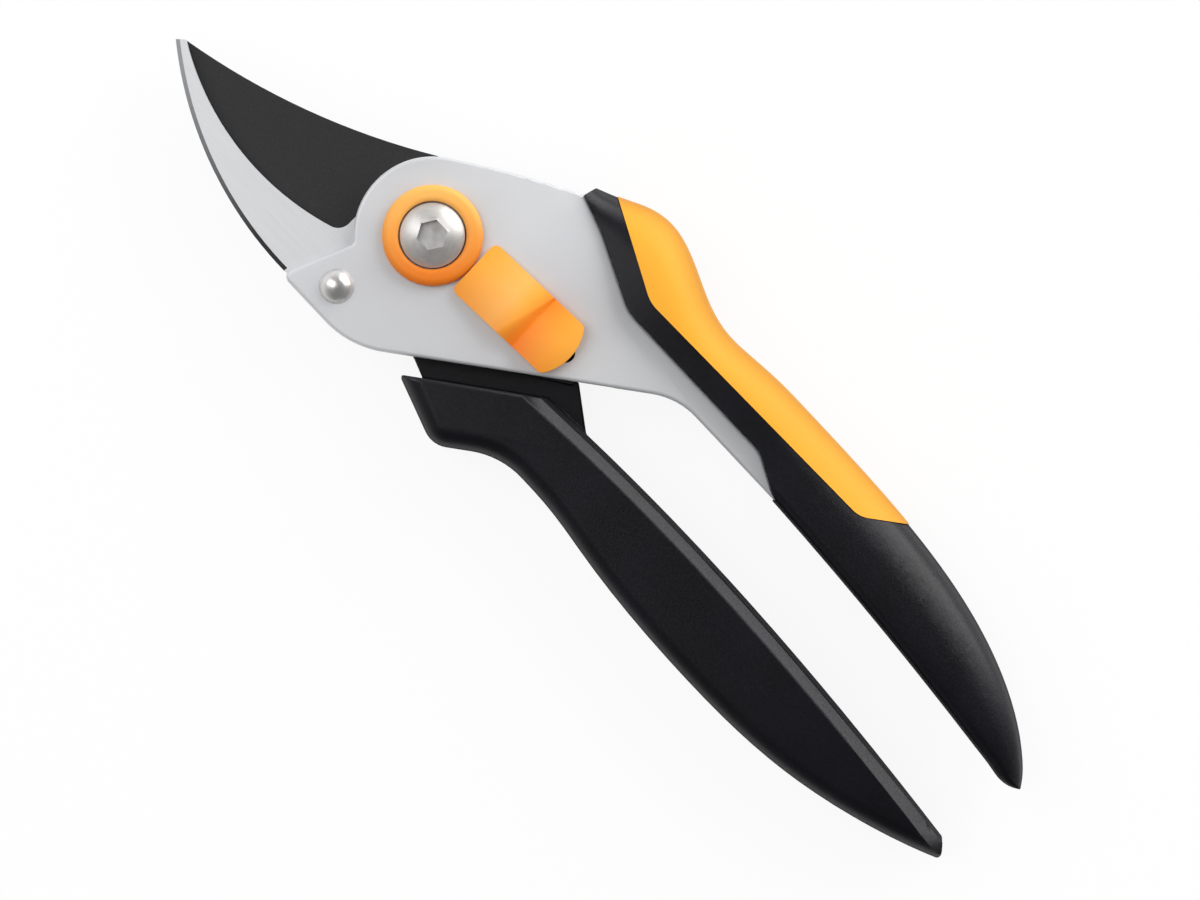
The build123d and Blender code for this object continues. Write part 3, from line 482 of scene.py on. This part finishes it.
def crown_handle(piece):
    """Round the handle gently across its width, so that its front doesn't lie flat."""
    form = bmesh.new()
    form.from_mesh(piece.data)
    for step in range(CUT_LONG_COUNT):
        cut_across(form, Vector((CROWN_FROM + step * CUT_LONG, 0, 0)), Vector((1, 0, 0)))
    for step in range(CUT_WIDE_COUNT):
        cut_across(form, Vector((0, CUT_WIDE_FROM + step * CUT_WIDE, 0)), Vector((0, 1, 0)))
    for vert in form.verts:
        x = min(vert.co.x, CROWN_LAST)
        inner = handle_walls.ray_cast(Vector((x, BELOW_HANDLE, MID_Z)), Vector((0, 1, 0)))[0]
        outer = handle_walls.ray_cast(Vector((x, BEYOND_HANDLE, MID_Z)), Vector((0, -1, 0)))[0]
        if inner and outer and vert.co.x > CROWN_FROM:
            start = min(inner.y, INNER_MOST)
            across = (vert.co.y - start) / (outer.y - start)
            along = (x - CROWN_FROM) / (CROWN_FULL - CROWN_FROM)
            drop = CROWN_DROP * eased((across - FALL_FROM) / FALL_OVER) * eased(along)
            vert.co.z = MID_Z + (vert.co.z - MID_Z) * (1 - drop)
    form.to_mesh(piece.data)
    form.free()
    piece.data.set_sharp_from_angle(angle=radians(MOULD_CREASE))


shell = dress("upper_handle_shell", "frame", black, MOULD_CREASE)
crown_handle(shell)

yellow, tree, shader, place = start_material("yellow_soft_grip")
shader.inputs["Specular IOR Level"].default_value = 0.4
# Painted shade on the grip: its sloping sides and walls are coloured deeper orange than its level front and
# back, with a faint random drift.
slope_shade = tree.nodes.new("ShaderNodeMath")
slope_shade.operation = "MULTIPLY_ADD"
tree.links.new(add_noise(tree, place, 70, 3), slope_shade.inputs[0])
slope_shade.inputs[1].default_value = 0.15
tree.links.new(level_share(tree), slope_shade.inputs[2])
rubber_and_shade = two_tone(tree, slope_shade.outputs[0], (0.6, 0.25, 0.006), (0.88, 0.395, 0.018), 0.4, 1.0)
tree.links.new(rubber_and_shade, shader.inputs["Base Color"])
fine = add_noise(tree, place, 2600, 3, 0.65)
tree.links.new(spread(tree, fine, 0.5, 0.66), shader.inputs["Roughness"])
add_bump(tree, shader, fine, 0.00003, 0.5)
grip = dress("grip_insert", "frame", yellow, MOULD_CREASE, edge=GRIP_EDGE)
crown_handle(grip)


# Lower handle. The same black nylon, moulded in one piece with the hub round the pivot and the
# recessed flange that carries the blade's tang; two rivets hold the tang.
LOWER_CREASE = 30
SOFT_FROM, SOFT_TO, SOFT_FADE = 0.012, 0.14, 0.03
SOFT_EDGE = 0.0003
lower = dress("lower_handle", "lower", black, LOWER_CREASE)
form = bmesh.new()
form.from_mesh(lower.data)
softness = form.edges.layers.float.new("bevel_weight_edge")
for edge in form.edges:
    reach = [vert.co.x for vert in edge.verts]
    sharp = len(edge.link_faces) == 2 and edge.calc_face_angle() > radians(LOWER_CREASE)
    if sharp and SOFT_FROM < min(reach) and max(reach) < SOFT_TO:
        edge[softness] = min(1.0, (SOFT_TO - max(reach)) / SOFT_FADE)
form.to_mesh(lower.data)
form.free()
soften(lower, SOFT_EDGE, "WEIGHT").use_clamp_overlap = False
dress("tang_rivets", "lower", dark_steel)


# Studio. A white sheet under the tool, soft light from both sides and the camera straight above, with
# the tool lying slantwise as in a catalogue picture.
def feed(tree, value, target):
    """Set a socket to a number, or link it to another node's output."""
    if isinstance(value, float):
        target.default_value = value
    else:
        tree.links.new(value, target)


SHEET_WHITE, SHEET_GLOSS = 0.9, 0.15
SHEET_HALF, SHEET_DROP = 3.0, 0.0002
sheet = bpy.data.materials.new("white_sheet")
sheet.use_nodes = True
tree = sheet.node_tree
tree.nodes.clear()
paper = tree.nodes.new("ShaderNodeBsdfDiffuse")
paper.inputs["Color"].default_value = (SHEET_WHITE, SHEET_WHITE, SHEET_WHITE, 1)
glow = tree.nodes.new("ShaderNodeEmission")
glow.inputs["Strength"].default_value = 1.0
rays = tree.nodes.new("ShaderNodeLightPath")
share = 0.0
for ray, white in (("Is Glossy Ray", SHEET_GLOSS), ("Is Transmission Ray", SHEET_WHITE),
                   ("Is Camera Ray", SHEET_WHITE)):
    seen = tree.nodes.new("ShaderNodeMath")
    seen.operation = "MULTIPLY_ADD"
    tree.links.new(rays.outputs[ray], seen.inputs[0])
    seen.inputs[1].default_value = white
    feed(tree, share, seen.inputs[2])
    share = seen.outputs[0]
blend = tree.nodes.new("ShaderNodeMixShader")
tree.links.new(share, blend.inputs["Fac"])
tree.links.new(paper.outputs[0], blend.inputs[1])
tree.links.new(glow.outputs[0], blend.inputs[2])
out = tree.nodes.new("ShaderNodeOutputMaterial")
tree.links.new(blend.outputs[0], out.inputs["Surface"])

ground = bmesh.new()
bmesh.ops.create_grid(ground, x_segments=1, y_segments=1, size=SHEET_HALF)
bmesh.ops.translate(ground, verts=ground.verts, vec=(0, 0, -SHEET_DROP))
sheet_mesh = bpy.data.meshes.new("sheet")
ground.to_mesh(sheet_mesh)
ground.free()
sheet_mesh.materials.append(sheet)
floor = bpy.data.objects.new("sheet", sheet_mesh)
bpy.context.scene.collection.objects.link(floor)

MIDDLE = (0.0492, -0.0045, 0.0)
VIEW_TURN = 46.8
RIGHT = Vector((cos(radians(VIEW_TURN)), sin(radians(VIEW_TURN)), 0))
UP = Vector((-sin(radians(VIEW_TURN)), cos(radians(VIEW_TURN)), 0))

ROOM_FILL = 0.56
CEILING = 0.16
WALL_FROM, WALL_TO = 0.1, 0.8
DARK_SIDE = 0.18
LIGHT_SIDE = UP * 0.92 - RIGHT * 0.39
SIDE_FROM, SIDE_TO = -0.6, 0.5
world = bpy.data.worlds.new("studio")
bpy.context.scene.world = world
world.use_nodes = True
tree = world.node_tree
room = next(n for n in tree.nodes if n.type == "BACKGROUND")
room.inputs["Color"].default_value = (1, 1, 1, 1)
heading = tree.nodes.new("ShaderNodeTexCoord").outputs["Generated"]
walls = measure_along(tree, heading, (0, 0, 1), WALL_FROM, WALL_TO, 1.0, CEILING)
flag = measure_along(tree, heading, LIGHT_SIDE, SIDE_FROM, SIDE_TO, DARK_SIDE, 1.0)
mirrored = tree.nodes.new("ShaderNodeMath")
mirrored.operation = "MULTIPLY"
tree.links.new(walls, mirrored.inputs[0])
tree.links.new(flag, mirrored.inputs[1])
shown = mirrored.outputs[0]
rays = tree.nodes.new("ShaderNodeLightPath")
level = ROOM_FILL
for ray, light in (("Is Glossy Ray", shown), ("Is Transmission Ray", shown), ("Is Camera Ray", 1.0)):
    mix = tree.nodes.new("ShaderNodeMix")
    tree.links.new(rays.outputs[ray], mix.inputs["Factor"])
    feed(tree, level, mix.inputs["A"])
    feed(tree, light, mix.inputs["B"])
    level = mix.outputs["Result"]
tree.links.new(level, room.inputs["Strength"])


def soft_box(name, spot, aim, size, power):
    """A rectangular area light that faces a place."""
    lamp = bpy.data.lights.new(name, "AREA")
    lamp.shape = "RECTANGLE"
    lamp.size = size[0]
    lamp.size_y = size[1]
    lamp.energy = power
    holder = bpy.data.objects.new(name, lamp)
    holder.location = spot
    holder.rotation_euler = (Vector(aim) - Vector(spot)).to_track_quat("-Z", "Y").to_euler()
    bpy.context.scene.collection.objects.link(holder)


KEY_LEFT, KEY_UP, KEY_HIGH = 0.55, 0.3, 0.85
KEY_SIZE, KEY_POWER = (0.6, 0.9), 4.0
SIDE_SPOT, SIDE_AIM = (0.08, 0.9, 0.5), (0.08, 0.0, 0.5)
SIDE_SIZE, SIDE_POWER = (1.0, 0.95), 10.0
key_spot = Vector(MIDDLE) - RIGHT * KEY_LEFT + UP * KEY_UP + Vector((0, 0, KEY_HIGH))
soft_box("key_box", key_spot, MIDDLE, KEY_SIZE, KEY_POWER)
soft_box("side_box", SIDE_SPOT, SIDE_AIM, SIDE_SIZE, SIDE_POWER)

CAMERA_HEIGHT = 1.2
FACE_HEIGHT = 0.0145
FRAME_WIDTH = 0.2179
lens = bpy.data.cameras.new("camera")
lens.sensor_width = 36.0
lens.lens = lens.sensor_width * (CAMERA_HEIGHT - FACE_HEIGHT) / FRAME_WIDTH
camera = bpy.data.objects.new("camera", lens)
camera.location = (MIDDLE[0], MIDDLE[1], CAMERA_HEIGHT)
camera.rotation_euler = (0, 0, radians(VIEW_TURN))
bpy.context.scene.collection.objects.link(camera)
bpy.context.scene.camera = camera
bpy.context.scene.view_settings.view_transform = "Standard"
